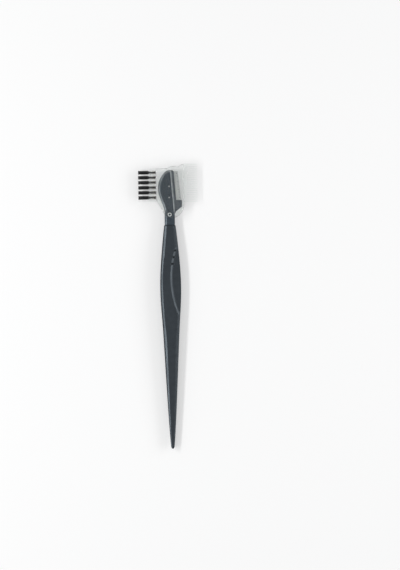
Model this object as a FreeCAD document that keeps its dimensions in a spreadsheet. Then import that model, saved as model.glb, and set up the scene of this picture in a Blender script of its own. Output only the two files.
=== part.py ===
import FreeCAD, Part
import math
import os
import re
import Sketcher

# Eyebrow razor with a clear pull-off cap that carries a brush and a comb.
# Each piece is drawn about the catch nub: +Y to the head's end, +X to the blade, z = 0 at mid-thickness.
# The placements then set the origin on the back of the grip, at its widest place.

driving = {
    # Whole razor
    "fullThick": 5.0,       # cap and grip, which both lie on the rest plane
    "gripReach": 33.1,      # from the catch nub down to the widest place of the grip
    "overrun": 2.0,         # how far every cut runs past the solid
    # Handle
    "handleLength": 96.7,   # from the shoulder at the neck to the tail
    "shoulderDrop": 4.4,    # from the catch nub to the shoulder
    "gripWidth": 9.0,
    "gripBevel": 0.55,
    "gripFacet": 0.9,       # narrow facet between the flat face and the bevel
    "facetDrop": 0.33,      # its fall towards the bevel
    "gripCrown": 0.2,       # trimmed off to leave the grip's flat faces
    "shoulderBevel": 0.35,
    "tailRound": 0.6,
    # Thumb scoop and its notches
    "scoopWidth": 4.6,      # from the grip's side to the scoop's inner edge, at its middle
    "scoopDepth": 0.75,
    "scoopDrop": 27.5,      # from the catch nub to the scoop's middle
    "scoopRadius": 3.2,     # of the hollow under its inner edge
    "scoopBend": 40.0,      # radius of the inner edge, seen from above
    "notchDrop": 15.5,      # from the catch nub to the first notch
    "notchPitch": 2.88,
    "notchInset": 0.65,     # each notch starts this much nearer the long axis
    "notchSide": 1.65,      # from the long axis to the first notch
    "notchLength": 1.0,
    "notchWidth": 0.85,
    "notchDepth": 1.15,
    # Head and neck
    "headLength": 19.2,     # from the catch nub to the head's end
    "headBulge": 4.9,       # from the long axis to the back of the head
    "headBevel": 0.55,
    "headFacet": 0.35,      # narrow facet between the bevel and the flat face
    "neckWidth": 4.4,
    "neckBlend": 8.0,
    "headCorner": 2.5,
    "ridgeFoot": 2.2,       # from the long axis to the ridge, level with the nub
    "ridgeRun": 0.7,        # width of the slanted wall from the ridge down to the lip
    "lipWidth": 1.2,
    "lipDepth": 0.6,        # step down from the ridge to the lip, on each face
    "tabReach": 5.35,       # from the long axis to the tab's outer edge
    "tabTop": 6.35,         # from the nub up to the tab's top edge
    "tabHeight": 2.85,
    "tabRise": 1.5,         # from the nub up to the root of the tab's underside
    "tabCorner": 0.5,
    "nubWidth": 0.8,
    "nubHeight": 0.45,
    "tangWidth": 2.6,
    "tangThick": 1.8,
    "tangLength": 8.0,
    "tangClear": 0.05,
    # Blade, guard and pins
    "bladeGap": 0.1,        # between the tab and the blade's lower end
    "bladeEnd": 0.4,        # between the blade's upper end and the head's end
    "bladeThick": 0.25,
    "bladeInset": 0.35,     # from the tab's outer edge to the cutting edge, at its lower end
    "bladeBack": 1.7,       # from the long axis to the blade's back edge
    "bladeClip": 3.8,       # clipped off the upper back corner, along the blade
    "bladeClipWidth": 1.75,
    "edgeBevel": 0.8,
    "edgeThick": 0.04,
    "slotClear": 0.03,
    "foilThick": 0.12,
    "foilClear": 0.02,
    "foilDepth": 3.4,       # from the cutting edge to the guard's hidden rim
    "windowEdge": 0.7,      # from each end of the guard to its first window
    "windowWidth": 0.6,
    "windowDepth": 0.75,
    "pinWidth": 0.6,
    "pinClear": 0.02,
    "pinSide": 0.1,         # from the long axis to the pins, away from the blade
    # Cap
    "capWall": 0.75,
    "capGap": 0.25,         # between the head's faces and the cap's walls
    "capClear": 0.3,        # between the head and the pocket's side walls
    "capEdge": 0.35,        # rounded edges of the shell
    "capEndClear": 0.25,    # between the head's end and the pocket's end
    "capEndWall": 0.55,
    "capSideWall": 0.65,    # on the comb side
    "tongueWidth": 4.2,
    "tongueDrop": 1.5,      # from the nub to the tongues' end
    "tongueRound": 2.0,
    "shellLow": 6.5,        # from the nub up to where the tongues' slanted edge meets the shell's side
    "lobeRadius": 6.05,
    "lobeTop": 3.4,
    "pocketRound": 4.6,
    "domeRadius": 4.0,      # of the cap's end over the head's end
    "domeFoot": 1.0,        # hollow bends on both sides of that dome
    "shoulderRound": 2.5,   # bend where the cap's end meets the comb
    "holeClear": 0.1,       # round the nub
    "rimWidth": 1.9,        # countersink round that hole
    "rimDepth": 0.25,
    "capRise": 1.95,        # how much further the cap's end reaches on the comb side
    # Brush block, tufts and anchors
    "blockLow": 5.55,       # from the nub up to the block's lower edge
    "blockReach": 9.1,      # from the long axis to the block's outer edge
    "blockLean": 0.6,       # the outer edge comes in by this much at its upper end
    "blockThick": 3.4,
    "blockRound": 0.6,
    "tuftWall": 0.55,       # between the tuft holes and the pocket
    "tuftLow": 1.9,         # from the block's lower edge to the lowest tuft
    "tuftHigh": 1.7,        # from the block's upper edge to the highest tuft
    "tuftGap": 0.5,         # between the tips of neighbouring tufts
    "holeGap": 0.6,         # between neighbouring tuft holes
    "tuftClear": 0.05,
    "tuftFree": 4.4,
    "anchorDepth": 1.2,     # along the hole
    "anchorThick": 0.3,
    "anchorInset": 0.1,     # from the hole's wall to the anchor's ends
    "anchorFold": 0.3,      # bristles folded behind the anchor
    # Comb
    "combLow": 5.4,
    "combSpine": 1.2,
    "combThick": 2.4,
    "toothLength": 4.7,     # from the comb's spine to the tooth tips
    "toothWidth": 0.55,
    "toothThick": 1.8,
    "toothTip": 0.3,
    "toothTipThick": 0.7,
}
tuftCount = 6
toothCount = 18
notchCount = 3
windowCount = 10

# Lean of the ridge and of the cutting edge towards the long axis, per unit of length.
ridgeLeanShare = 0.077
edgeLeanShare = 0.115

# Handle sections from the shoulder to the tail:
# place along the handle, then width, thickness and bevel against those of the grip.
sectionShares = [
    (0.000, 0.540, 0.74, 0.75),
    (0.073, 0.720, 0.88, 0.95),
    (0.161, 0.893, 1.00, 1.00),
    (0.297, 1.000, 1.00, 1.00),
    (0.430, 0.845, 1.00, 1.00),
    (0.606, 0.645, 0.86, 0.90),
    (0.782, 0.455, 0.62, 0.65),
    (0.916, 0.290, 0.44, 0.42),
    (1.000, 0.150, 0.32, 0.22),
]

# Back of the head: radius of its bow and place of its widest point, against the head's length,
# and the lean of the flank below the bow, in degrees.
bowShare = 0.5104
bulgeShare = 0.5885
flankLean = 20.0

# Where the neck leaves the tab's underside, against the rise of that underside.
neckShare = 0.2

# Pins along the blade, lower one first.
pinShares = (0.077, 0.466)

# Bends of the cap's end outline between block and comb, over the dome: across against the comb
# side's wall, and the rise already reached there.
bendShares = [(-0.19, 0.0), (-0.095, 0.103), (0.514, 0.375), (0.656, 0.419), (0.845, 0.802), (1.0, 1.0)]

# Sizes that follow from the others, measured from the nub or the long axis where they are places.
headThick = "(fullThick - 2 * (capWall + capGap))"
slotThick = "(bladeThick + 2 * (foilClear + foilThick + slotClear))"
bladeLow = "(tabTop + bladeGap)"
bladeHigh = "(headLength - bladeEnd)"
pinPlaces = [f"({bladeLow} + ({bladeHigh} - {bladeLow}) * {share})" for share in pinShares]
windowPitch = f"(({bladeHigh} - {bladeLow} - 2 * windowEdge - windowWidth) / {windowCount - 1})"
pocketLeft = "(-headBulge - capClear)"
pocketRight = "(tabReach + capClear)"
pocketTop = "(headLength + capEndClear)"
shellSide = f"({pocketLeft} - tuftWall)"
combSide = f"({pocketRight} + capSideWall)"
blockTop = f"({pocketTop} + capEndWall)"
combTop = f"({blockTop} + capRise)"
toothPitch = f"(({combTop} - combLow - toothWidth) / {toothCount - 1})"
tuftFirst = "(blockLow + tuftLow)"
tuftPitch = f"(({blockTop} - tuftHigh - {tuftFirst}) / {tuftCount - 1})"
tuftHole = f"({tuftPitch} - holeGap)"

doc = FreeCAD.newDocument("eyebrow_razor")
sheet = doc.addObject("Spreadsheet::Sheet", "sizes")
for row, (name, value) in enumerate(driving.items(), start=1):
    sheet.set(f"A{row}", name)
    sheet.set(f"B{row}", str(value))
    sheet.setAlias(f"B{row}", name)
doc.recompute()

pieces = []
near = 1e-6  # how exactly an edge has to lie where it is looked for


def formula(text):
    # Points every size named in the text at its cell.
    return re.sub(r"[A-Za-z]\w*", lambda word: "sizes." + word[0] if word[0] in driving else word[0], text)


def number(text):
    return float(sheet.evalExpression(formula(text)))


def place(piece, label, across="0", along="0"):
    # Lifts a piece from the nub's frame to the origin on the back of the grip.
    piece.Label = label
    piece.setExpression("Placement.Base.x", formula(across))
    piece.setExpression("Placement.Base.y", formula(f"gripReach + {along}"))
    piece.setExpression("Placement.Base.z", formula("fullThick / 2"))
    pieces.append(piece)


def newBody(label):
    return doc.addObject("PartDesign::Body", label + "_body")


def originOf(body, role):
    return [feature for feature in body.Origin.OriginFeatures if feature.Role == role][0]


def addSketch(body, name, plane, lift="0"):
    sketch = body.newObject("Sketcher::SketchObject", name)
    sketch.AttachmentSupport = [(originOf(body, plane), "")]
    sketch.MapMode = "FlatFace"
    sketch.setExpression("AttachmentOffset.Base.z", formula(lift))
    return sketch


def arcBetween(start, end, radius, turn):
    # The shorter arc of that radius from start to end, turning left or right.
    chord = end.sub(start)
    side = FreeCAD.Vector(-chord.y, chord.x, 0).normalize()
    if turn == "right":
        side = side.negative()
    height = math.sqrt(max(radius ** 2 - (chord.Length / 2) ** 2, 0))
    centre = start.add(chord.multiply(0.5)).add(side.multiply(height))
    startAngle = math.atan2(start.y - centre.y, start.x - centre.x)
    endAngle = math.atan2(end.y - centre.y, end.x - centre.x)
    if turn == "right":
        startAngle, endAngle = endAngle, startAngle
    return Part.ArcOfCircle(Part.Circle(centre, FreeCAD.Vector(0, 0, 1), radius), startAngle, endAngle)


def addOutline(sketch, corners):
    # A corner is (x, y) where a straight run leaves it and (x, y, radius, turn) where an arc does.
    points = [FreeCAD.Vector(number(corner[0]), number(corner[1]), 0) for corner in corners]
    edges = []
    sizesOf = []
    constraints = []
    for index, corner in enumerate(corners):
        start = points[index]
        end = points[(index + 1) % len(points)]
        if len(corner) == 2:
            geometry = sketch.addGeometry(Part.LineSegment(start, end))
            edges.append((geometry, 1, 2))
            continue
        radius, turn = corner[2:]
        geometry = sketch.addGeometry(arcBetween(start, end, number(radius), turn))
        edges.append((geometry, 1, 2) if turn == "left" else (geometry, 2, 1))
        constraints.append(Sketcher.Constraint("Radius", geometry, number(radius)))
        sizesOf.append(radius)
    for index, corner in enumerate(corners):
        geometry, startEnd, farEnd = edges[index]
        nextGeometry, nextEnd, unused = edges[(index + 1) % len(edges)]
        for axis, text in zip(("DistanceX", "DistanceY"), corner):
            constraints.append(Sketcher.Constraint(axis, -1, 1, geometry, startEnd, number(text)))
            sizesOf.append(text)
        constraints.append(Sketcher.Constraint("Coincident", geometry, farEnd, nextGeometry, nextEnd))
        sizesOf.append("0")
    bindConstraints(sketch, constraints, sizesOf)


def addCircle(sketch, across, along, width):
    centre = FreeCAD.Vector(number(across), number(along), 0)
    radius = number(width) / 2
    geometry = sketch.addGeometry(Part.Circle(centre, FreeCAD.Vector(0, 0, 1), radius))
    constraints = [
        Sketcher.Constraint("Diameter", geometry, 2 * radius),
        Sketcher.Constraint("DistanceX", -1, 1, geometry, 3, centre.x),
        Sketcher.Constraint("DistanceY", -1, 1, geometry, 3, centre.y),
    ]
    bindConstraints(sketch, constraints, [width, across, along])


def bindConstraints(sketch, constraints, texts):
    for constraint, text in zip(constraints, texts):
        index = sketch.addConstraint(constraint)
        if text != "0":
            sketch.setExpression(f"Constraints[{index}]", formula(text))


def rectangle(left, low, right, high):
    return [(left, low), (right, low), (right, high), (left, high)]


def centred(width, height):
    return rectangle(f"-({width}) / 2", f"-({height}) / 2", f"({width}) / 2", f"({height}) / 2")


def volumeOf(body):
    return body.Shape.Volume if body.Tip else 0.0


def checkVolume(body, name, before, grows):
    # A cut that points away from the solid removes nothing and shows no error.
    doc.recompute()
    change = volumeOf(body) - before
    if change == 0 or (change > 0) != grows:
        raise ValueError(f"{name} changes nothing on {body.Label}")


def addFeature(body, kind, name, sketch, length, side="Symmetric", reverse=False):
    before = volumeOf(body)
    feature = body.newObject("PartDesign::" + kind, name)
    feature.Profile = sketch
    feature.SideType = side
    feature.Reversed = reverse
    feature.setExpression("Length", formula(length))
    checkVolume(body, name, before, kind == "Pad")
    return feature


def addLoft(body, kind, name, sections, ruled):
    before = volumeOf(body)
    feature = body.newObject("PartDesign::" + kind, name)
    feature.Profile = sections[0]
    feature.Sections = sections[1:]
    feature.Ruled = ruled
    checkVolume(body, name, before, kind == "AdditiveLoft")
    return feature


def addTurn(body, kind, name, sketch, axis):
    before = volumeOf(body)
    feature = body.newObject("PartDesign::" + kind, name)
    feature.Profile = sketch
    feature.ReferenceAxis = axis
    checkVolume(body, name, before, kind == "Revolution")
    return feature


def addDressing(body, kind, name, size, chosen):
    # Rounds or bevels the edges of the body's last feature that the test picks.
    base = body.Tip
    names = [f"Edge{index}" for index, edge in enumerate(base.Shape.Edges, start=1) if chosen(edge)]
    feature = body.newObject("PartDesign::" + kind, name)
    feature.Base = (base, names)
    feature.setExpression("Radius" if kind == "Fillet" else "Size", formula(size))
    doc.recompute()
    return feature


def onFace(edge, height):
    box = edge.BoundBox
    return abs(abs(box.ZMin) - height) < near and abs(abs(box.ZMax) - height) < near


def mirrorFaces(body, name, features):
    mirror = body.newObject("PartDesign::Mirrored", name)
    mirror.Originals = features
    mirror.MirrorPlane = (originOf(body, "XY_Plane"), [""])
    body.Tip = mirror
    doc.recompute()


def repeatAlong(body, name, feature, pitch, count):
    pattern = body.newObject("PartDesign::LinearPattern", name)
    pattern.Originals = [feature]
    pattern.Direction = (originOf(body, "Y_Axis"), [""])
    pattern.setExpression("Length", formula(f"({pitch}) * {count - 1}"))
    pattern.Occurrences = count
    body.Tip = pattern
    doc.recompute()


def ridgeAt(along):
    return f"(ridgeFoot - {ridgeLeanShare} * ({along}))"


def edgeAt(along):
    return f"(tabReach - bladeInset - {edgeLeanShare} * ({along} - {bladeLow}))"


def gripSection(width, thick, bevel):
    halfWidth = f"gripWidth * {width / 2}"
    halfThick = f"(fullThick + gripCrown) * {thick / 2}"
    cut = f"gripBevel * {bevel}"
    facet = f"gripFacet * {bevel}"
    drop = f"facetDrop * {bevel}"
    corners = []
    for across, up, first in ((1, -1, "up"), (1, 1, "across"), (-1, 1, "up"), (-1, -1, "across")):
        onSide = (f"{across} * ({halfWidth})", f"{up} * ({halfThick} - {drop} - {cut})")
        onBevel = (f"{across} * ({halfWidth} - {cut})", f"{up} * ({halfThick} - {drop})")
        onFlat = (f"{across} * ({halfWidth} - {cut} - {facet})", f"{up} * ({halfThick})")
        corners += [onFlat, onBevel, onSide] if first == "up" else [onSide, onBevel, onFlat]
    return corners


def makeHandle():
    body = newBody("handle")
    sections = []
    for index, (along, width, thick, bevel) in enumerate(sectionShares):
        sketch = addSketch(body, f"gripSection{index}", "XZ_Plane", f"shoulderDrop + handleLength * {along}")
        addOutline(sketch, gripSection(width, thick, bevel))
        sections.append(sketch)
    addLoft(body, "AdditiveLoft", "gripLoft", sections, False)
    shoulder = number("-shoulderDrop")

    def atShoulder(edge):
        box = edge.BoundBox
        return abs(box.YMin - shoulder) < near and abs(box.YMax - shoulder) < near

    addDressing(body, "Chamfer", "shoulderEdges", "shoulderBevel", atShoulder)

    # Flat faces on both sides of the grip, which the razor rests on.
    sketch = addSketch(body, "flatOutline", "YZ_Plane")
    tail = "-(shoulderDrop + handleLength)"
    addOutline(sketch, rectangle(tail, "fullThick / 2", "0", "fullThick / 2 + overrun"))
    addOutline(sketch, rectangle(tail, "-fullThick / 2 - overrun", "0", "-fullThick / 2"))
    addFeature(body, "Pocket", "gripFlats", sketch, "gripWidth * 2")

    # Round tail.
    sketch = addSketch(body, "tailOutline", "XY_Plane")
    addOutline(sketch, [
        ("-gripWidth / 2", f"{tail} - overrun"),
        ("gripWidth / 2", f"{tail} - overrun"),
        ("gripWidth / 2", f"{tail} + tailRound"),
        ("tailRound", f"{tail} + tailRound", "tailRound", "right"),
        ("0", tail, "tailRound", "right"),
        ("-tailRound", f"{tail} + tailRound"),
        ("-gripWidth / 2", f"{tail} + tailRound"),
    ])
    addFeature(body, "Pocket", "tailEnd", sketch, "fullThick * 2")

    # Socket for the head's tang.
    sketch = addSketch(body, "socketOutline", "XZ_Plane", "shoulderDrop")
    addOutline(sketch, centred("tangWidth + 2 * tangClear", "tangThick + 2 * tangClear"))
    addFeature(body, "Pocket", "socket", sketch, "tangLength + tangClear", "One side", True)

    # Thumb scoop: a flat floor with a hollow wall, turned about an upright axis beside the grip.
    sketch = addSketch(body, "scoopSection", "XZ_Plane", "scoopDrop")
    inner = "(gripWidth / 2 - scoopWidth)"
    wallFoot = f"({inner} + sqrt(2 * scoopRadius * scoopDepth - scoopDepth ^ 2))"
    floor = "fullThick / 2 - scoopDepth"
    outer = "gripWidth / 2 + overrun"
    addOutline(sketch, [
        (inner, "fullThick / 2", "scoopRadius", "left"),
        (wallFoot, floor),
        (outer, floor),
        (outer, "fullThick / 2 + overrun"),
        (inner, "fullThick / 2 + overrun"),
    ])
    axisSide = f"{inner} + scoopBend"
    heights = (floor, "fullThick / 2")
    ends = [FreeCAD.Vector(number(axisSide), number(height), 0) for height in heights]
    axis = sketch.addGeometry(Part.LineSegment(*ends), True)
    constraints = [Sketcher.Constraint("Vertical", axis)]
    constraints.append(Sketcher.Constraint("DistanceX", -1, 1, axis, 1, ends[0].x))
    constraints.append(Sketcher.Constraint("DistanceY", -1, 1, axis, 1, ends[0].y))
    constraints.append(Sketcher.Constraint("DistanceY", -1, 1, axis, 2, ends[1].y))
    bindConstraints(sketch, constraints, ["0", axisSide, *heights])
    scoop = addTurn(body, "Groove", "thumbScoop", sketch, (sketch, ["Axis0"]))

    # Notches across the scoop's inner edge, towards the neck.
    sketch = addSketch(body, "notchOutline", "XY_Plane", "fullThick / 2")
    for index in range(notchCount):
        left = f"notchSide - notchInset * {index}"
        low = f"-notchDrop - notchPitch * {index} - notchWidth / 2"
        addOutline(sketch, rectangle(left, low, f"{left} + notchLength", f"{low} + notchWidth"))
    notches = addFeature(body, "Pocket", "notches", sketch, "notchDepth", "One side")
    mirrorFaces(body, "otherFace", [scoop, notches])
    place(body, "handle")


def bladeOutline(spread, reach):
    # The blade's outline, spread by a clearance and with its edge moved out by the reach.
    low = f"{bladeLow} - {spread}"
    high = f"{bladeHigh} + {spread}"
    back = f"-bladeBack - {spread}"
    return [
        (back, low),
        (f"{edgeAt(low)} + {reach}", low),
        (f"{edgeAt(high)} + {reach}", high),
        (f"{back} + bladeClipWidth", high),
        (back, f"{high} - bladeClip"),
    ]


def addPinHoles(body, thick):
    sketch = addSketch(body, "pinOutline", "XY_Plane")
    for along in pinPlaces:
        addCircle(sketch, "-pinSide", along, "pinWidth + 2 * pinClear")
    addFeature(body, "Pocket", "pinHoles", sketch, f"{thick} + 2 * overrun")


def headBack():
    # From the neck to the head's end: blend, straight flank, bow and corner, each tangent to the next.
    lean = math.radians(flankLean)
    sine = math.sin(lean)
    cosine = math.cos(lean)
    bow = f"(headLength * {bowShare})"
    bowAcross = f"({bow} - headBulge)"
    bowAlong = f"(headLength * {bulgeShare})"
    flankHigh = (f"({bowAcross} - {bow} * {cosine})", f"({bowAlong} - {bow} * {sine})")
    lowAcross = f"(-neckWidth / 2 - neckBlend * {1 - cosine})"
    lowAlong = f"({flankHigh[1]} - ({lowAcross} - {flankHigh[0]}) * {cosine / sine})"
    cornerRise = f"(headLength - headCorner - {bowAlong})"
    cornerRun = f"sqrt(({bow} - headCorner) ^ 2 - {cornerRise} ^ 2)"
    reach = f"{bow} / ({bow} - headCorner)"
    bowEnd = (f"{bowAcross} - {cornerRun} * {reach}", f"{bowAlong} + {cornerRise} * {reach}")
    return [
        ("-neckWidth / 2", f"{lowAlong} - neckBlend * {sine}", "neckBlend", "left"),
        (lowAcross, lowAlong),
        (*flankHigh, bow, "right"),
        (*bowEnd, "headCorner", "right"),
        (f"{bowAcross} - {cornerRun}", "headLength"),
    ]


def makeHead():
    body = newBody("razor_head")
    sketch = addSketch(body, "headOutline", "XY_Plane")
    addOutline(sketch, [
        ("-neckWidth / 2", "-shoulderDrop"),
        *headBack(),
        (f"{ridgeAt('headLength')} + lipWidth", "headLength"),
        (f"{ridgeAt('tabTop')} + lipWidth", "tabTop"),
        ("tabReach - tabCorner", "tabTop", "tabCorner", "right"),
        ("tabReach", "tabTop - tabCorner"),
        ("tabReach", "tabTop - tabHeight"),
        ("ridgeFoot + lipWidth / 2", "tabRise"),
        ("neckWidth / 2", f"tabRise * {neckShare}"),
        ("neckWidth / 2", "-shoulderDrop"),
    ])
    addFeature(body, "Pad", "headPlate", sketch, headThick)

    # Bevel round the back, the end and the neck, but not on the lip and tab.
    half = number(f"{headThick} / 2")
    side = number("(neckWidth / 2 + ridgeFoot) / 2")
    foot = number("-shoulderDrop / 2")

    def bevelled(edge):
        middle = edge.CenterOfMass
        return onFace(edge, half) and middle.x < side and middle.y > foot

    addDressing(body, "Chamfer", "headEdges", "headBevel", bevelled)
    addDressing(body, "Chamfer", "headFacets", "headFacet", bevelled)

    # Slanted step down from the ridge to the thinner lip and tab, on both faces.
    for up in ("", "-"):
        ends = []
        for along in ("0", "headLength + overrun"):
            sketch = addSketch(body, "lipSection", "XZ_Plane", f"-({along})")
            addOutline(sketch, [
                (f"{ridgeAt(along)} - ridgeRun / 2", f"{up}{headThick} / 2"),
                (f"{ridgeAt(along)} + ridgeRun / 2", f"{up}({headThick} / 2 - lipDepth)"),
                ("tabReach + overrun", f"{up}({headThick} / 2 - lipDepth)"),
                ("tabReach + overrun", f"{up}({headThick} / 2 + overrun)"),
                (f"{ridgeAt(along)} - ridgeRun / 2", f"{up}({headThick} / 2 + overrun)"),
            ])
            ends.append(sketch)
        addLoft(body, "SubtractiveLoft", "lipStep", ends, True)

    # Slot for the blade and its guard, and the pin holes across it.
    sketch = addSketch(body, "slotOutline", "XY_Plane")
    addOutline(sketch, bladeOutline("slotClear", "overrun"))
    addFeature(body, "Pocket", "bladeSlot", sketch, slotThick)
    addPinHoles(body, headThick)

    # Catch nub on both faces, and the tang inside the handle.
    sketch = addSketch(body, "nubOutline", "XY_Plane")
    addCircle(sketch, "0", "0", "nubWidth")
    addFeature(body, "Pad", "catchNubs", sketch, f"{headThick} + 2 * nubHeight")
    sketch = addSketch(body, "tangOutline", "XZ_Plane", "shoulderDrop")
    addOutline(sketch, centred("tangWidth", "tangThick"))
    addFeature(body, "Pad", "tang", sketch, "tangLength", "One side")
    place(body, "razor_head")


def makeBlade():
    body = newBody("blade")
    sketch = addSketch(body, "bladeOutline", "XY_Plane")
    addOutline(sketch, bladeOutline("0", "0"))
    addFeature(body, "Pad", "bladePlate", sketch, "bladeThick")

    # The cutting bevel on both faces: a wedge that follows the leaning edge from end to end.
    for up in ("", "-"):
        ends = []
        for along in (f"{bladeLow} - overrun", f"{bladeHigh} + overrun"):
            sketch = addSketch(body, "edgeSection", "XZ_Plane", f"-({along})")
            edge = edgeAt(along)
            addOutline(sketch, [
                (f"{edge} - edgeBevel", f"{up}bladeThick / 2"),
                (edge, f"{up}edgeThick / 2"),
                (f"{edge} + overrun", f"{up}edgeThick / 2"),
                (f"{edge} + overrun", f"{up}bladeThick"),
                (f"{edge} - edgeBevel", f"{up}bladeThick"),
            ])
            ends.append(sketch)
        addLoft(body, "SubtractiveLoft", "edgeWedge", ends, True)

    addPinHoles(body, "bladeThick")
    place(body, "blade")


def makeGuard():
    body = newBody("blade_guard")

    def strip(inner, outer, first, last):
        return [
            (f"{edgeAt(first)} - {inner}", first),
            (f"{edgeAt(first)} + {outer}", first),
            (f"{edgeAt(last)} + {outer}", last),
            (f"{edgeAt(last)} - {inner}", last),
        ]

    fold = "foilClear + foilThick"
    sketch = addSketch(body, "guardOutline", "XY_Plane")
    addOutline(sketch, strip("foilDepth", fold, bladeLow, bladeHigh))
    addFeature(body, "Pad", "guardFold", sketch, f"bladeThick + 2 * ({fold})")
    sketch = addSketch(body, "channelOutline", "XY_Plane")
    ends = (f"{bladeLow} - overrun", f"{bladeHigh} + overrun")
    addOutline(sketch, strip("(foilDepth + overrun)", "foilClear", *ends))
    addFeature(body, "Pocket", "bladeChannel", sketch, "bladeThick + 2 * foilClear")

    # Windows that bare the cutting edge between narrow strips of foil.
    sketch = addSketch(body, "windowOutline", "XY_Plane")
    for index in range(windowCount):
        first = f"{bladeLow} + windowEdge + {windowPitch} * {index}"
        addOutline(sketch, strip("windowDepth", "overrun", first, f"{first} + windowWidth"))
    addFeature(body, "Pocket", "windows", sketch, "bladeThick + 2 * overrun")
    place(body, "blade_guard")


def makePins():
    for label, along in zip(("blade_pin_lower", "blade_pin_upper"), pinPlaces):
        pin = doc.addObject("Part::Cylinder", label)
        pin.setExpression("Radius", formula("pinWidth / 2"))
        pin.setExpression("Height", formula(headThick))
        place(pin, label, "-pinSide", along)
        pin.setExpression("Placement.Base.z", formula(f"(fullThick - {headThick}) / 2"))


def makeCap():
    body = newBody("cap")
    sketch = addSketch(body, "shellOutline", "XY_Plane")
    bends = [(f"{combSide} * {across}", f"{blockTop} + capRise * {rise}") for across, rise in bendShares]
    addOutline(sketch, [
        ("-tongueWidth / 2", "0"),
        (shellSide, "shellLow"),
        (shellSide, blockTop),
        (*bends[0], "domeFoot", "left"),
        (*bends[1], "domeRadius", "right"),
        (*bends[2], "domeFoot", "left"),
        bends[3],
        (*bends[4], "shoulderRound", "right"),
        bends[5],
        (combSide, "lobeTop", "lobeRadius", "right"),
        ("0", "-tongueDrop", "tongueRound", "right"),
    ])
    addFeature(body, "Pad", "shell", sketch, "fullThick")
    half = number("fullThick / 2")
    addDressing(body, "Fillet", "shellEdges", "capEdge", lambda edge: onFace(edge, half))

    # Brush block and comb spine on the two sides.
    sketch = addSketch(body, "blockOutline", "XY_Plane")
    addOutline(sketch, [
        (shellSide, "blockLow"),
        (shellSide, blockTop),
        ("-blockReach + blockLean + blockRound", blockTop, "blockRound", "left"),
        ("-blockReach + blockLean", f"{blockTop} - blockRound"),
        ("-blockReach", "blockLow + blockRound", "blockRound", "left"),
        ("-blockReach + blockRound", "blockLow"),
    ])
    addFeature(body, "Pad", "brushBlock", sketch, "blockThick")
    sketch = addSketch(body, "combOutline", "XY_Plane")
    addOutline(sketch, rectangle(combSide, "combLow", f"{combSide} + combSpine", combTop))
    addFeature(body, "Pad", "combSpine", sketch, "combThick")

    # Comb teeth, tapered towards their tips.
    first = "combLow + toothWidth / 2"
    root = addSketch(body, "toothRoot", "YZ_Plane", f"{combSide} + combSpine / 2")
    tip = addSketch(body, "toothTip", "YZ_Plane", f"{combSide} + combSpine + toothLength")
    for section, width, thick in ((root, "toothWidth", "toothThick"), (tip, "toothTip", "toothTipThick")):
        addOutline(section, rectangle(f"{first} - {width} / 2", f"-{thick} / 2",
                                      f"{first} + {width} / 2", f"{thick} / 2"))
    tooth = addLoft(body, "AdditiveLoft", "combTooth", [root, tip], True)
    repeatAlong(body, "combTeeth", tooth, toothPitch, toothCount)

    # Pocket for the head, open towards the neck, with straight sides so that the cap pulls off.
    sketch = addSketch(body, "pocketOutline", "XY_Plane")
    addOutline(sketch, [
        (pocketLeft, "-tongueDrop - overrun"),
        (pocketLeft, f"{pocketTop} - pocketRound", "pocketRound", "right"),
        (f"{pocketLeft} + pocketRound", pocketTop),
        (pocketRight, pocketTop),
        (pocketRight, "-tongueDrop - overrun"),
    ])
    addFeature(body, "Pocket", "headPocket", sketch, "fullThick - 2 * capWall")

    # Catch hole in each tongue, with the lead-in that lets the nub pass.
    sketch = addSketch(body, "leadOutline", "XY_Plane")
    hole = "nubWidth + 2 * holeClear"
    addOutline(sketch, rectangle(f"-({hole}) / 2", "-tongueDrop - overrun", f"({hole}) / 2", "0"))
    addFeature(body, "Pocket", "leadIn", sketch, f"{headThick} + 2 * (nubHeight + holeClear)")
    sketch = addSketch(body, "catchOutline", "XY_Plane")
    addCircle(sketch, "0", "0", hole)
    addFeature(body, "Pocket", "catchHoles", sketch, "fullThick + 2 * overrun")
    sketch = addSketch(body, "rimSection", "XZ_Plane")
    addOutline(sketch, [
        ("0", "fullThick / 2 - rimDepth"),
        (f"({hole}) / 2", "fullThick / 2 - rimDepth"),
        ("rimWidth / 2", "fullThick / 2"),
        ("rimWidth / 2", "fullThick / 2 + overrun"),
        ("0", "fullThick / 2 + overrun"),
    ])
    rim = addTurn(body, "Groove", "catchRim", sketch, (originOf(body, "Z_Axis"), [""]))
    mirrorFaces(body, "otherRim", [rim])

    # Blind holes for the tufts.
    sketch = addSketch(body, "tuftOutline", "YZ_Plane", "-blockReach - overrun")
    addCircle(sketch, tuftFirst, "0", tuftHole)
    depth = f"blockReach + overrun + {shellSide}"
    hole = addFeature(body, "Pocket", "tuftHole", sketch, depth, "One side", True)
    repeatAlong(body, "tuftHoles", hole, tuftPitch, tuftCount)
    place(body, "cap")


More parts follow.
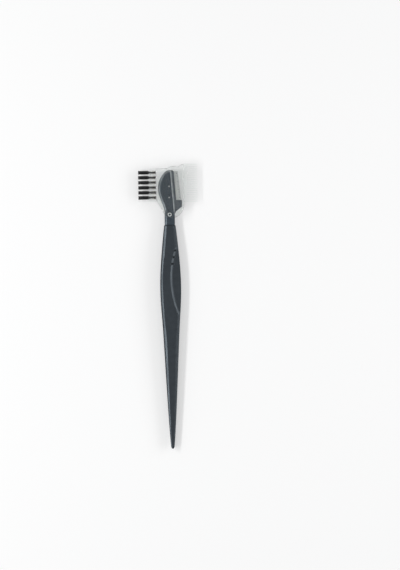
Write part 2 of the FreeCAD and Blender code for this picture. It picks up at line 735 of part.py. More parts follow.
def makeTufts():
    tuftEnd = f"{shellSide} - tuftClear"
    slotEnd = f"{tuftEnd} - anchorFold"
    slotStart = f"{slotEnd} - anchorDepth"
    anchorWidth = f"({tuftHole} - 2 * anchorInset)"
    for index in range(tuftCount):
        label = f"brush_tuft_{index + 1}"
        along = f"{tuftFirst} + {tuftPitch} * {index}"
        body = newBody(label)
        sketch = addSketch(body, "tuftProfile", "XY_Plane")
        addOutline(sketch, [
            (tuftEnd, "0"),
            (tuftEnd, f"{tuftHole} / 2 - tuftClear"),
            ("-blockReach", f"{tuftHole} / 2 - tuftClear"),
            ("-blockReach - tuftFree", f"({tuftPitch} - tuftGap) / 2"),
            ("-blockReach - tuftFree", "0"),
        ])
        addTurn(body, "Revolution", "tuft", sketch, (originOf(body, "X_Axis"), [""]))
        sketch = addSketch(body, "foldOutline", "XZ_Plane")
        addOutline(sketch, rectangle(slotStart, "-anchorThick / 2", slotEnd, "anchorThick / 2"))
        addFeature(body, "Pocket", "fold", sketch, f"{tuftHole} + overrun")
        place(body, label, "0", along)

        anchor = doc.addObject("Part::Box", f"tuft_anchor_{index + 1}_box")
        anchor.setExpression("Length", formula("anchorDepth"))
        anchor.setExpression("Width", formula(anchorWidth))
        anchor.setExpression("Height", formula("anchorThick"))
        place(anchor, f"tuft_anchor_{index + 1}", slotStart, f"{along} - {anchorWidth} / 2")
        anchor.setExpression("Placement.Base.z", formula("(fullThick - anchorThick) / 2"))


makeHandle()
makeHead()
makeBlade()
makeGuard()
makePins()
makeCap()
makeTufts()
doc.recompute()

faults = [item.Label for item in doc.Objects if "Invalid" in item.State or "Error" in item.State]
faults += [piece.Label for piece in pieces if piece.Shape.isNull() or not piece.Shape.isValid()]
if faults:
    raise RuntimeError("failed: " + ", ".join(faults))
os.makedirs("parts", exist_ok=True)
for piece in pieces:
    piece.Shape.exportStep(f"parts/{piece.Label}.step")
    box = piece.Shape.BoundBox
    print(f"{piece.Label}: {len(piece.Shape.Solids)} solid, {piece.Shape.Volume:.2f} mm3, "
          f"x {box.XMin:.2f} to {box.XMax:.2f}, y {box.YMin:.2f} to {box.YMax:.2f}, "
          f"z {box.ZMin:.2f} to {box.ZMax:.2f}")
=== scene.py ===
import math

import bpy
import numpy as np
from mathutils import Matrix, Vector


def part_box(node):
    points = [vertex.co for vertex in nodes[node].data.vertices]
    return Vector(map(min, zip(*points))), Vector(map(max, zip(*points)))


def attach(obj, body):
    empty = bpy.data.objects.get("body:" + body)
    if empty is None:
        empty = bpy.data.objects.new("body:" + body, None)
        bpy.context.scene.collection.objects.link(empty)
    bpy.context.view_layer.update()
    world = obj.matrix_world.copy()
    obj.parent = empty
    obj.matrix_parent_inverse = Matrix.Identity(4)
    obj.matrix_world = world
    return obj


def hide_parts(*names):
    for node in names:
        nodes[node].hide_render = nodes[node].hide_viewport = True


# Eyebrow razor lying flat, seen from above, with its clear cap on the head.
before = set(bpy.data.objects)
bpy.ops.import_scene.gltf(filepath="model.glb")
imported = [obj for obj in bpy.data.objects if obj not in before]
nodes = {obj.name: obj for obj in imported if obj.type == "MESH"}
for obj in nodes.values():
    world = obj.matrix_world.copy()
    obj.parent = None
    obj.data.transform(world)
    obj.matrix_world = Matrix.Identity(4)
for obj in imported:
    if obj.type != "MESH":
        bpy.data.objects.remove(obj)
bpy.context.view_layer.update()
mm = 0.001
midHeight = 2.5 * mm                          # where the moulds of all pieces part
catchNub = np.array([0.0, 33.1, 3.0]) * mm    # where the cap catches on the head
white = (1.0, 1.0, 1.0, 1.0)
print("frame loaded:", len(nodes), "nodes")

# Camera straight above the razor, framed as in the photograph.
picture = {
    "width": 400,             # pixels
    "height": 570,
    "pixel": 0.432 * mm,      # what one pixel covers at the razor
    "nub": (169.7, 214.7),    # pixel of the catch nub
    "lean": 0.8,              # degrees, head end towards the left
    "distance": 1.2,          # height of the camera above the nub
    "nearest": 0.01,          # what is closer to the camera isn't drawn
    "sensor": 24.0,           # height of the camera's sensor, in millimetres
}


def aimCamera():
    turn = math.radians(-picture["lean"])
    right = np.array([math.cos(turn), math.sin(turn), 0.0])
    up = np.array([-math.sin(turn), math.cos(turn), 0.0])
    across = (picture["width"] / 2 - picture["nub"][0]) * picture["pixel"]
    down = (picture["height"] / 2 - picture["nub"][1]) * picture["pixel"]
    centre = catchNub + right * across - up * down
    data = bpy.data.cameras.new("camera")
    data.sensor_fit = "VERTICAL"
    data.sensor_height = picture["sensor"]
    data.lens = picture["sensor"] * picture["distance"] / (picture["height"] * picture["pixel"])
    data.clip_start = picture["nearest"]
    camera = bpy.data.objects.new("camera", data)
    camera.location = centre + np.array([0.0, 0.0, picture["distance"]])
    camera.rotation_euler = (0.0, 0.0, turn)
    bpy.context.scene.collection.objects.link(camera)
    bpy.context.scene.camera = camera


aimCamera()
bpy.context.scene.view_settings.view_transform = "Standard"
print("camera set")

# Small helpers for node trees. The colours of a Mix node are found by number, as its names repeat.
mixSockets = {"low": 6, "high": 7, "mixed": 2}


def addNode(tree, kind, values=None, **settings):
    node = tree.nodes.new(kind)
    for name, value in settings.items():
        setattr(node, name, value)
    for name, value in (values or {}).items():
        node.inputs[name].default_value = value
    return node


def wire(tree, *pairs):
    for source, target in pairs:
        tree.links.new(source, target)


def feed(tree, value, socket):
    # The value is a number, a colour or the output of another node.
    if isinstance(value, float):
        socket.default_value = value
    elif isinstance(value, tuple):
        socket.default_value = (*value, 1.0)
    else:
        tree.links.new(value, socket)


def combine(tree, operation, *values):
    node = addNode(tree, "ShaderNodeMath", operation=operation)
    for value, socket in zip(values, node.inputs):
        feed(tree, value, socket)
    return node.outputs[0]


def spread(tree, source, low, high, start=0.0, end=1.0):
    # Maps a value from start..end to low..high.
    node = addNode(tree, "ShaderNodeMapRange")
    values = {"Value": source, "From Min": start, "From Max": end, "To Min": low, "To Max": high}
    for name, value in values.items():
        feed(tree, value, node.inputs[name])
    return node.outputs["Result"]


def mixColours(tree, mask, low, high):
    mix = addNode(tree, "ShaderNodeMix", data_type="RGBA")
    feed(tree, low, mix.inputs[mixSockets["low"]])
    feed(tree, high, mix.inputs[mixSockets["high"]])
    wire(tree, (mask, mix.inputs[0]))
    return mix.outputs[mixSockets["mixed"]]


def bumpFrom(tree, height, strength, depth, normal=None):
    bump = addNode(tree, "ShaderNodeBump", {"Strength": strength, "Distance": depth})
    wire(tree, (height, bump.inputs["Height"]))
    if normal:
        wire(tree, (normal, bump.inputs["Normal"]))
    return bump.outputs["Normal"]


def objectPlace(tree):
    return addNode(tree, "ShaderNodeTexCoord").outputs["Object"]


def objectParts(tree):
    parts = addNode(tree, "ShaderNodeSeparateXYZ")
    wire(tree, (objectPlace(tree), parts.inputs[0]))
    return parts.outputs


def objectNoise(tree, scale, **values):
    noise = addNode(tree, "ShaderNodeTexNoise", values)
    wire(tree, (objectPlace(tree), noise.inputs["Vector"]), (scale, noise.inputs["Scale"]))
    return noise.outputs[0]


def awayFrom(tree, height, level):
    # Distance above or below a level.
    return combine(tree, "ABSOLUTE", combine(tree, "SUBTRACT", height, level))


def newGroup(name, inputs, outputs):
    tree = bpy.data.node_groups.new(name, "ShaderNodeTree")
    for label, value in inputs.items():
        kind = "NodeSocketVector" if isinstance(value, tuple) else "NodeSocketFloat"
        tree.interface.new_socket(label, in_out="INPUT", socket_type=kind).default_value = value
    for label in outputs:
        kind = "NodeSocketVector" if label == "Normal" else "NodeSocketFloat"
        tree.interface.new_socket(label, in_out="OUTPUT", socket_type=kind)
    given = tree.nodes.new("NodeGroupInput").outputs
    return tree, given, tree.nodes.new("NodeGroupOutput").inputs


def placeGroup(tree, group, **values):
    node = tree.nodes.new("ShaderNodeGroup")
    node.node_tree = group
    for label, value in values.items():
        node.inputs[label].default_value = value
    return node.outputs


# Effects that several materials share.
effects = {
    "mottle": 0.12,                  # scale of the mottle against that of the grain
    "rounded": (0.92, 0.995),        # rounded times true normal, where the edge is full and where it ends
    "edgePatches": 0.45,             # to which share the noise weakens an edge
    "slopePatches": 0.55,            # and a slope
    "slopeStart": 0.68,              # distance at which a slope comes in, as a share of Low
    "bladeSide": (0.0, 0.5 * mm),    # across the razor, where a slope goes from Back to its full strength
    "smears": (0.42, 0.68),          # values of the noise from no smear to a full one
}
noiseCore = (0.35, 0.65)             # where most values of a noise lie
noiseSpan = (0.3, 0.7)               # and where nearly all do


def makeMouldGrain():
    # Fine spark-eroded texture of a mould: two noises of different size, the slow one as a mottle.
    tree, given, result = newGroup("mouldGrain", {"Scale": 4000.0}, ["Height", "Mottle"])
    slower = combine(tree, "MULTIPLY", given["Scale"], effects["mottle"])
    wire(tree, (objectNoise(tree, given["Scale"], Detail=3.0, Roughness=0.6), result["Height"]),
         (objectNoise(tree, slower, Detail=2.0, Roughness=0.5), result["Mottle"]))
    return tree


def makeRoundedEdges():
    # The normal of a rounded edge, and a mask where it leaves the true one, broken up by a noise.
    values = {"Width": 0.3 * mm, "Scale": 900.0}
    tree, given, result = newGroup("roundedEdges", values, ["Mask", "Normal"])
    rounded = addNode(tree, "ShaderNodeBevel", samples=8)
    shape = addNode(tree, "ShaderNodeNewGeometry")
    dot = addNode(tree, "ShaderNodeVectorMath", operation="DOT_PRODUCT")
    noise = objectNoise(tree, given["Scale"], Detail=3.0)
    edge = spread(tree, dot.outputs["Value"], 1.0, 0.0, *effects["rounded"])
    patchy = spread(tree, noise, effects["edgePatches"], 1.0, *noiseCore)
    wire(tree, (given["Width"], rounded.inputs["Radius"]), (rounded.outputs[0], dot.inputs[0]),
         (shape.outputs["Normal"], dot.inputs[1]), (rounded.outputs[0], result["Normal"]),
         (combine(tree, "MULTIPLY", edge, patchy), result["Mask"]))
    return tree


def makePartingLine():
    # The thin flash where two mould halves meet: highest at one height, gone a width above and below.
    tree, given, result = newGroup("partingLine", {"Level": midHeight, "Width": 0.05 * mm}, ["Mask"])
    away = awayFrom(tree, objectParts(tree)["Z"], given["Level"])
    ratio = combine(tree, "DIVIDE", away, given["Width"])
    wire(tree, (spread(tree, ratio, 1.0, 0.0), result["Mask"]))
    return tree


def makeSlopes():
    # The slopes beside the flat faces: 1 between two distances from the parting height, coming in over
    # a third of the lower one. It grows from nothing at Foot to its full strength at Top, is weakened to
    # Back on the side away from the blade, and is broken up by a noise. It places a painted highlight:
    # the light lines on the head's slopes stand in for reflections of the lamps.
    values = {"Level": midHeight, "Low": 1.5 * mm, "High": 1.9 * mm, "Foot": 0.0, "Top": 1.0 * mm,
              "Back": 1.0, "Scale": 900.0}
    tree, given, result = newGroup("slopes", values, ["Mask"])
    parts = objectParts(tree)
    away = awayFrom(tree, parts["Z"], given["Level"])
    start = combine(tree, "MULTIPLY", given["Low"], effects["slopeStart"])
    noise = objectNoise(tree, given["Scale"], Detail=3.0)
    mask = spread(tree, away, 0.0, 1.0, start, given["Low"])
    for share in (combine(tree, "LESS_THAN", away, given["High"]),
                  spread(tree, parts["Y"], 0.0, 1.0, given["Foot"], given["Top"]),
                  spread(tree, parts["X"], given["Back"], 1.0, *effects["bladeSide"]),
                  spread(tree, noise, effects["slopePatches"], 1.0, *noiseCore)):
        mask = combine(tree, "MULTIPLY", mask, share)
    wire(tree, (mask, result["Mask"]))
    return tree


def makeDrawnLines():
    # Noise on coordinates that are stretched along the lines.
    tree, given, result = newGroup("drawnLines", {"Stretch": (400.0, 30000.0, 400.0)}, ["Height"])
    scaled = addNode(tree, "ShaderNodeVectorMath", operation="MULTIPLY")
    noise = addNode(tree, "ShaderNodeTexNoise", {"Scale": 1.0, "Detail": 4.0, "Roughness": 0.65})
    wire(tree, (objectPlace(tree), scaled.inputs[0]), (given["Stretch"], scaled.inputs[1]),
         (scaled.outputs[0], noise.inputs["Vector"]), (noise.outputs[0], result["Height"]))
    return tree


def makeHandling():
    # Smears that fingers leave: slow noise, bent by another noise.
    tree, given, result = newGroup("handling", {"Scale": 160.0}, ["Mask"])
    noise = objectNoise(tree, given["Scale"], Detail=4.0, Roughness=0.6, Distortion=0.8)
    wire(tree, (spread(tree, noise, 0.0, 1.0, *effects["smears"]), result["Mask"]))
    return tree


mouldGrain = makeMouldGrain()
roundedEdges = makeRoundedEdges()
partingLine = makePartingLine()
slopes = makeSlopes()
drawnLines = makeDrawnLines()
handling = makeHandling()
print("shared effects ready")


def newMaterial(name):
    material = bpy.data.materials.new(name)
    material.use_nodes = True
    tree = material.node_tree
    return material, tree, tree.nodes["Principled BSDF"]


def coat(tree, shader, tone, rough, normal):
    wire(tree, (tone, shader.inputs["Base Color"]), (rough, shader.inputs["Roughness"]),
         (normal, shader.inputs["Normal"]))


def dress(node, material):
    for index in range(max(1, len(nodes[node].material_slots))):
        if len(nodes[node].material_slots) <= index:
            nodes[node].data.materials.append(material)
        nodes[node].material_slots[index].material = material


# Black plastic of the handle and the head.
handleLook = {
    "colour": (0.0060, 0.0078, 0.0105),
    "mottle": (0.0105, 0.0130, 0.0165),
    "sheenAndWearTone": (0.060, 0.067, 0.075),    # lighter where edges or slopes meet: partly wear, partly painted highlight
    "roughness": (0.32, 0.44),
    "smear": -0.07,                     # smears are smoother
    "specular": 0.8,
    "tint": (0.78, 0.90, 1.0),          # of reflections
    "grain": 5200.0,
    "grainDepth": 0.012 * mm,
    "strength": 0.6,                    # of the relief
    "flash": 3.0,                       # height of the parting line against the grain
    "edgeWidth": 0.16 * mm,
}
# Same black plastic as the handle. Its colour and mottle are painted lighter and bluer, a painted
# reflection of the clear cap lying over it, and the near-white tone of its slopes is a painted highlight
# that stands in for lamp reflections.
headLook = dict(
    handleLook, colour=(0.016, 0.024, 0.033), mottle=(0.024, 0.033, 0.043), sheenAndWearTone=(0.50, 0.52, 0.53),
    roughness=(0.28, 0.38), grain=6500.0, grainDepth=0.008 * mm, edgeWidth=0.12 * mm,
    slopes={"Low": 1.25 * mm, "High": 1.49 * mm, "Foot": 32.5 * mm, "Top": 35.5 * mm, "Back": 0.38})


def blackPlastic(name, look):
    material, tree, shader = newMaterial(name)
    grain = placeGroup(tree, mouldGrain, Scale=look["grain"])
    edges = placeGroup(tree, roundedEdges, Width=look["edgeWidth"])
    flash = placeGroup(tree, partingLine)
    smears = placeGroup(tree, handling)
    # Mask of the lighter tone: on the head its slopes, where the tone is a painted highlight; on the
    # handle its rounded edges, where it is partly wear and partly painted highlight.
    sheenAndWear = placeGroup(tree, slopes, **look["slopes"]) if "slopes" in look else edges
    patches = spread(tree, grain["Mottle"], 0.0, 1.0, *noiseCore)
    tone = mixColours(tree, patches, look["colour"], look["mottle"])
    tone = mixColours(tree, sheenAndWear["Mask"], tone, look["sheenAndWearTone"])
    rough = spread(tree, grain["Height"], *look["roughness"], *noiseSpan)
    rough = combine(tree, "MULTIPLY_ADD", smears["Mask"], look["smear"], rough)
    relief = combine(tree, "MULTIPLY_ADD", flash["Mask"], look["flash"], grain["Height"])
    normal = bumpFrom(tree, relief, look["strength"], look["grainDepth"], edges["Normal"])
    coat(tree, shader, tone, rough, normal)
    shader.inputs["Specular IOR Level"].default_value = look["specular"]
    shader.inputs["Specular Tint"].default_value = (*look["tint"], 1.0)
    return material


dress("handle", blackPlastic("handlePlastic", handleLook))
dress("razor_head", blackPlastic("headPlastic", headLook))
print("black plastic done")

# Steel of the blade, its guard and the pins.
bladeLook = {
    "colour": (0.62, 0.63, 0.65),
    "dark": (0.40, 0.41, 0.43),
    "bright": (0.74, 0.75, 0.76),          # along the edges
    "roughness": (0.18, 0.34),
    "smear": 0.08,                         # smears are rougher
    "smearScale": 420.0,
    "stretch": (500.0, 26000.0, 500.0),    # grinding lines run across the blade, towards the edge
    "streaks": (0.32, 0.62),               # values of the lines from dark to full colour
    "depth": 0.004 * mm,
    "strength": 0.5,                       # of the relief
    "edgeWidth": 0.08 * mm,
}
guardLook = dict(bladeLook, colour=(0.69, 0.71, 0.70), dark=(0.46, 0.48, 0.47), roughness=(0.24, 0.40),
                 stretch=(24000.0, 600.0, 600.0))
pinLook = dict(bladeLook, colour=(0.50, 0.51, 0.53), dark=(0.34, 0.35, 0.36), bright=(0.60, 0.61, 0.63),
               roughness=(0.28, 0.42), stretch=(9000.0, 9000.0, 900.0))


def drawnMetal(name, look):
    material, tree, shader = newMaterial(name)
    lines = placeGroup(tree, drawnLines, Stretch=look["stretch"])["Height"]
    edges = placeGroup(tree, roundedEdges, Width=look["edgeWidth"])
    smears = placeGroup(tree, handling, Scale=look["smearScale"])
    streaks = spread(tree, lines, 0.0, 1.0, *look["streaks"])
    tone = mixColours(tree, streaks, look["dark"], look["colour"])
    tone = mixColours(tree, edges["Mask"], tone, look["bright"])
    rough = spread(tree, lines, *look["roughness"], *noiseSpan)
    rough = combine(tree, "MULTIPLY_ADD", smears["Mask"], look["smear"], rough)
    coat(tree, shader, tone, rough, bumpFrom(tree, lines, look["strength"], look["depth"]))
    shader.inputs["Metallic"].default_value = 1.0
    return material


dress("blade", drawnMetal("bladeSteel", bladeLook))
dress("blade_guard", drawnMetal("guardFoil", guardLook))
pinSteel = drawnMetal("pinSteel", pinLook)
for pin in ("blade_pin_lower", "blade_pin_upper"):
    dress(pin, pinSteel)
print("steel done")

# Clear cap.
capLook = {
    "colour": (0.955, 0.978, 0.966),
    "ior": 1.49,
    "roughness": (0.015, 0.05),
    "smearScale": 240.0,
    "waves": (120.0, 60.0, 120.0),    # slow flow lines of the moulding
    "waveDepth": 0.015 * mm,
    "strength": 0.35,                 # of the waves
    "alpha": (0.50, 0.90),            # of the thin walls, which pass half the light straight, and the comb
    "comb": (5.6 * mm, 6.6 * mm),     # across the razor, where the walls end and the comb starts
}


def clearPlastic(name, look):
    material, tree, shader = newMaterial(name)
    flow = placeGroup(tree, drawnLines, Stretch=look["waves"])
    smears = placeGroup(tree, handling, Scale=look["smearScale"])
    alpha = spread(tree, objectParts(tree)["X"], *look["alpha"], *look["comb"])
    normal = bumpFrom(tree, flow["Height"], look["strength"], look["waveDepth"])
    wire(tree, (spread(tree, smears["Mask"], *look["roughness"]), shader.inputs["Roughness"]),
         (normal, shader.inputs["Normal"]), (alpha, shader.inputs["Alpha"]))
    shader.inputs["Base Color"].default_value = (*look["colour"], 1.0)
    shader.inputs["IOR"].default_value = look["ior"]
    shader.inputs["Transmission Weight"].default_value = 1.0
    return material


dress("cap", clearPlastic("clearPlastic", capLook))
print("clear cap done")


def meshFromFaces(name, points, loops, totals):
    # loops holds the faces' corners one after the other, totals the number of corners of each face.
    mesh = bpy.data.meshes.new(name)
    mesh.vertices.add(points.size // 3)
    mesh.vertices.foreach_set("co", points.astype(np.float32).ravel())
    mesh.loops.add(len(loops))
    mesh.loops.foreach_set("vertex_index", loops.astype(np.int32))
    mesh.polygons.add(len(totals))
    mesh.polygons.foreach_set("loop_start", (np.cumsum(totals) - totals).astype(np.int32))
    mesh.polygons.foreach_set("loop_total", totals.astype(np.int32))
    mesh.polygons.foreach_set("use_smooth", np.ones(len(totals), bool))
    mesh.update(calc_edges=True)
    piece = bpy.data.objects.new(name, mesh)
    bpy.context.scene.collection.objects.link(piece)
    return piece


# Rim bead of the catch hole on each face of the cap, in the hole's countersink, coloured near white: a
# painted highlight for the ring of light that the hole's edge catches in the clear plastic.
rimLook = {
    "hole": 0.50 * mm,      # radius of the catch hole
    "sink": 0.25 * mm,      # depth of the countersink there
    "slope": 0.5556,        # of the countersink
    "middle": 0.66 * mm,    # radius of the bead's middle
    "half": 0.11 * mm,      # half its width
    "bulge": 0.08 * mm,     # its thickness
    "lift": 0.005 * mm,     # above the countersink
    "steps": (72, 20),      # round the hole, and round the bead
    # Both tones below are painted highlight, mixed by the grain.
    "colour": (0.88, 0.91, 0.90),
    "sheenAndWear": (0.74, 0.78, 0.77),
    "roughness": (0.30, 0.45),
    "grain": 9000.0,
    "grainDepth": 0.006 * mm,
    "strength": 0.4,        # of the grain
}


def rimBead(up):
    # A bead of elliptic section lies on the countersink: radius = middle + half width times cosine,
    # height = countersink there + lift + half thickness times (1 + sine), and that turned round the hole.
    around, section = (np.arange(steps) * 2 * math.pi / steps for steps in rimLook["steps"])
    radius = rimLook["middle"] + rimLook["half"] * np.cos(section)
    depth = (rimLook["sink"] - rimLook["slope"] * (radius - rimLook["hole"]) - rimLook["lift"]
             - rimLook["bulge"] / 2 * (1 + np.sin(section)))
    low, high = (np.array(corner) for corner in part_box("cap"))
    height = high[2] - depth if up else low[2] + depth
    points = np.stack([
        catchNub[0] + np.cos(around)[:, None] * radius,
        catchNub[1] + np.sin(around)[:, None] * radius,
        np.broadcast_to(height, (len(around), len(section))),
    ], axis=-1)
    index = np.arange(len(around) * len(section)).reshape(len(around), len(section))
    ahead = np.roll(index, -1, axis=0)
    quads = np.stack([index, ahead, np.roll(ahead, -1, axis=1), np.roll(index, -1, axis=1)], axis=-1)
    quads = quads.reshape(-1, 4)
    return points, quads if up else quads[:, ::-1]


def paintedGlintRim(look):
    material, tree, shader = newMaterial("paintedGlintRim")
    grain = placeGroup(tree, mouldGrain, Scale=look["grain"])["Height"]
    tone = mixColours(tree, spread(tree, grain, 0.0, 1.0, *noiseCore), look["sheenAndWear"], look["colour"])
    rough = spread(tree, grain, *look["roughness"], *noiseSpan)
    coat(tree, shader, tone, rough, bumpFrom(tree, grain, look["strength"], look["grainDepth"]))
    return material


glintRimPaint = paintedGlintRim(rimLook)
for name, up in (("catch_rim_upper", True), ("catch_rim_lower", False)):
    points, quads = rimBead(up)
    rim = meshFromFaces(name, points, quads.ravel(), np.full(len(quads), 4))
    rim.data.materials.append(glintRimPaint)
    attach(rim, "cap")
print("catch rims done")

# Flat wire that holds the tufts.
wireLook = dict(bladeLook, colour=(0.80, 0.76, 0.66), dark=(0.62, 0.59, 0.50), bright=(0.86, 0.82, 0.72),
                roughness=(0.26, 0.42), stretch=(2000.0, 30000.0, 2000.0), edgeWidth=0.06 * mm)
tufts = sorted(name for name in nodes if name.startswith("brush_tuft_"))
anchors = sorted(name for name in nodes if name.startswith("tuft_anchor_"))
anchorWire = drawnMetal("anchorWire", wireLook)
for anchor in anchors:
    dress(anchor, anchorWire)
print("anchors done")

# Brush tufts.
tuftLook = {
    "bristles": 150,          # in one tuft
    "width": 0.118 * mm,      # of one bristle
    "sides": 5,
    "short": 0.22 * mm,       # how much shorter the shortest bristle is
    "stray": 0.06 * mm,       # how far a tip strays sideways at most
    "strayTimes": 2.2,        # standard deviations in that
    "bend": 1.5,              # power with which a bristle strays from the block to its tip
    "block": -9.1 * mm,       # outer edge of the brush block, where the free part starts
    "mouth": 0.4 * mm,        # length over which the bristles draw together inside the hole
    "waist": 0.43 * mm,       # half width of the tuft there
    "fold": 0.52 * mm,        # and where it folds round the anchor
    "closing": 0.96,          # how far the fold closes up at its end
    "beside": 0.05 * mm,      # between an anchor's end and the tuft's side
    "parting": 0.5 * mm,      # length over which the bristles part before the anchor
    "freeShares": (0.35, 0.7, 1.0),
    "colour": (0.0035, 0.0035, 0.004),
    "pale": (0.016, 0.016, 0.018),
    "roughness": (0.30, 0.48),
    "stretch": (700.0, 9000.0, 9000.0),
    "depth": 0.006 * mm,
    "strength": 0.4,          # of the relief
    "seed": 11,
}


def bristlePaths(low, high, anchorLow, anchorHigh, chance):
    # Each bristle keeps one place of a sunflower pattern: radius = root of its number, turn = number times
    # the golden angle. The pattern's width runs straight from place to place: the fold's as far as the
    # anchor, the waist's from the anchor's middle to the hole's mouth, the tip's from the block's edge on.
    # Beside the anchor it is parted upwards and downwards, and behind it both halves close up in the fold.
    count = tuftLook["bristles"]
    half = tuftLook["width"] / 2
    number = np.arange(count)
    radius = np.sqrt((number + 0.5) / count)
    turn = number * math.pi * (3 - math.sqrt(5))
    middle = (low + high) / 2
    holeRadius = (anchorHigh[1] - anchorLow[1]) / 2 + tuftLook["beside"] - half
    tipRadius = (high[1] - low[1]) / 2 - half - tuftLook["stray"]
    block = tuftLook["block"]
    held = np.array([high[0] - half, anchorHigh[0], (anchorHigh[0] + anchorLow[0]) / 2, anchorLow[0],
                     anchorLow[0] - tuftLook["parting"], block + tuftLook["mouth"], block])
    heldWidth = np.array([tuftLook["fold"]] * 2 + [tuftLook["waist"]] * 4 + [tipRadius])
    freeShare = np.array(tuftLook["freeShares"])
    tip = low[0] + half + chance.random(count) * tuftLook["short"]
    freeAlong = block + (tip - block)[:, None] * freeShare
    along = np.concatenate([np.tile(held, (count, 1)), freeAlong], axis=1)
    wide = np.concatenate([heldWidth, np.full(len(freeShare), tipRadius)])
    free = np.concatenate([np.zeros(len(held)), freeShare])
    across = wide * (radius * np.cos(turn))[:, None]
    up = wide * (radius * np.sin(turn))[:, None]
    sway = chance.normal(size=(2, count)) * tuftLook["stray"] / tuftLook["strayTimes"]
    sway = np.clip(sway, -tuftLook["stray"], tuftLook["stray"])[:, :, None] * free ** tuftLook["bend"]
    across = across + sway[0]
    up = up + sway[1]

    gap = (anchorHigh[2] - anchorLow[2]) / 2 + half
    beside = np.clip((along - anchorLow[0] + tuftLook["parting"]) / tuftLook["parting"], 0.0, 1.0)
    parted = np.sign(up) * (gap + np.abs(up) * (holeRadius - gap) / holeRadius)
    up = up + (parted - up) * beside
    behind = np.clip((along - anchorHigh[0]) / (high[0] - half - anchorHigh[0]), 0.0, 1.0)
    up = up * np.sqrt(1.0 - tuftLook["closing"] * behind ** 2)
    return np.stack([along, middle[1] + across, middle[2] + up], axis=-1)


def tubeRings(path):
    # A ring of points round each station: half the width times cosine and sine along two directions
    # that are square to the path there.
    tangent = np.gradient(path, axis=1)
    tangent /= np.linalg.norm(tangent, axis=-1, keepdims=True)
    first = np.cross(tangent, np.array([0.0, 1.0, 0.0]))
    first /= np.linalg.norm(first, axis=-1, keepdims=True)
    second = np.cross(tangent, first)
    angle = np.arange(tuftLook["sides"]) * 2 * math.pi / tuftLook["sides"]
    ring = first[:, :, None] * np.cos(angle)[:, None] + second[:, :, None] * np.sin(angle)[:, None]
    return path[:, :, None] + tuftLook["width"] / 2 * ring


def meshFromTubes(name, rings, strand):
    # rings holds tubes x stations x sides x 3, and strand one value per tube. Quads join neighbouring
    # rings, one polygon closes each end.
    tubes, stations, sides = rings.shape[:3]
    index = np.arange(tubes * stations * sides).reshape(tubes, stations, sides)
    ahead = np.roll(index, -1, axis=2)
    quads = np.stack([index[:, :-1], ahead[:, :-1], ahead[:, 1:], index[:, 1:]], axis=-1).reshape(-1, 4)
    ends = np.concatenate([index[:, 0, ::-1], index[:, -1]])
    loops = np.concatenate([quads.ravel(), ends.ravel()])
    totals = np.concatenate([np.full(len(quads), 4), np.full(len(ends), sides)])
    piece = meshFromFaces(name, rings, loops, totals)
    values = piece.data.attributes.new("strand", "FLOAT", "POINT").data
    values.foreach_set("value", np.repeat(strand, stations * sides).astype(np.float32))
    return piece


def bristleNylon(look):
    material, tree, shader = newMaterial("bristleNylon")
    strand = addNode(tree, "ShaderNodeAttribute", attribute_name="strand")
    lines = placeGroup(tree, drawnLines, Stretch=look["stretch"])["Height"]
    tone = mixColours(tree, strand.outputs["Fac"], look["colour"], look["pale"])
    rough = spread(tree, lines, *look["roughness"], *noiseSpan)
    coat(tree, shader, tone, rough, bumpFrom(tree, lines, look["strength"], look["depth"]))
    return material


nylon = bristleNylon(tuftLook)
for index, (tuft, anchor) in enumerate(zip(tufts, anchors)):
    chance = np.random.default_rng(tuftLook["seed"] + index)
    corners = [np.array(corner) for node in (tuft, anchor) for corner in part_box(node)]
    rings = tubeRings(bristlePaths(*corners, chance))
    bundle = meshFromTubes(f"bristles_{index + 1}", rings, chance.random(tuftLook["bristles"]))
    bundle.data.materials.append(nylon)
    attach(bundle, "cap")
    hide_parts(tuft)
print("brush done")

# Floor and light.
studio = {
    "floor": (0.965, 0.968, 0.970),
    "floorSize": 3.0,
    "floorDrop": 0.05 * mm,            # below the razor
    "floorGrain": 300.0,
    "floorRoughness": (0.55, 0.65),
    "floorGlow": 0.35,                 # share of plain white where the floor is seen; shadows stay pale
    "zenith": 0.61,                    # strength of the sky straight above, and at the horizon
    "horizon": 0.30,
    "panelAway": 0.60,                 # from the razor's middle to each lamp panel
    "left": {"size": (0.08, 0.60), "elevation": 50.0, "power": 1.75},
    "right": {"size": (0.24, 0.60), "elevation": 28.0, "power": 1.35},
}


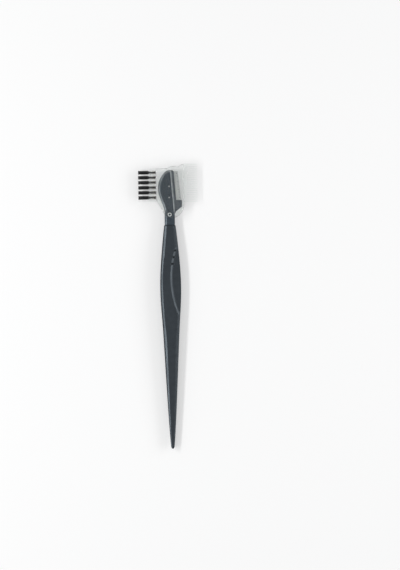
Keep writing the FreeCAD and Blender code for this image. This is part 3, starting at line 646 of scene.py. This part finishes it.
def layFloor():
    # A square sheet just under the razor: corners at plus and minus half its size.
    half = studio["floorSize"] / 2
    corners = np.array([[-1, -1], [1, -1], [1, 1], [-1, 1]], float) * half
    points = np.column_stack([corners, np.full(4, -studio["floorDrop"])])
    floor = meshFromFaces("floor", points, np.arange(4), np.array([4]))
    material, tree, shader = newMaterial("paleFloor")
    grain = placeGroup(tree, mouldGrain, Scale=studio["floorGrain"])
    rough = spread(tree, grain["Height"], *studio["floorRoughness"])
    shader.inputs["Base Color"].default_value = (*studio["floor"], 1.0)
    rays = addNode(tree, "ShaderNodeLightPath").outputs
    seen = combine(tree, "MAXIMUM", rays["Is Camera Ray"], rays["Is Glossy Ray"])
    seen = combine(tree, "MAXIMUM", seen, rays["Is Transmission Ray"])
    plain = addNode(tree, "ShaderNodeEmission", {"Color": white, "Strength": 1.0})
    mix = addNode(tree, "ShaderNodeMixShader")
    wire(tree, (rough, shader.inputs["Roughness"]),
         (spread(tree, seen, 0.0, studio["floorGlow"]), mix.inputs[0]),
         (shader.outputs[0], mix.inputs[1]), (plain.outputs[0], mix.inputs[2]),
         (mix.outputs[0], tree.nodes["Material Output"].inputs["Surface"]))
    floor.data.materials.append(material)


def lightSky():
    # The strength goes from the horizon's to the zenith's with the height of the looked-at direction.
    world = bpy.data.worlds.new("studio")
    bpy.context.scene.world = world
    world.use_nodes = True
    tree = world.node_tree
    sky = tree.nodes["Background"]
    place = addNode(tree, "ShaderNodeTexCoord")
    parts = addNode(tree, "ShaderNodeSeparateXYZ")
    wire(tree, (place.outputs["Generated"], parts.inputs[0]),
         (spread(tree, parts.outputs["Z"], studio["horizon"], studio["zenith"]), sky.inputs["Strength"]))
    sky.inputs["Color"].default_value = white


def addPanel(name, side):
    panel = studio[name]
    away = studio["panelAway"]
    rise = math.radians(panel["elevation"])
    data = bpy.data.lights.new(name + "Panel", "AREA")
    data.shape = "RECTANGLE"
    data.size, data.size_y = panel["size"]
    data.energy = panel["power"]
    lamp = bpy.data.objects.new(name + "Panel", data)
    lamp.location = (side * away * math.cos(rise), 0.0, away * math.sin(rise))
    lamp.rotation_euler = (0.0, side * (math.pi / 2 - rise), 0.0)
    bpy.context.scene.collection.objects.link(lamp)


layFloor()
lightSky()
addPanel("left", -1)
addPanel("right", 1)
print("studio ready")
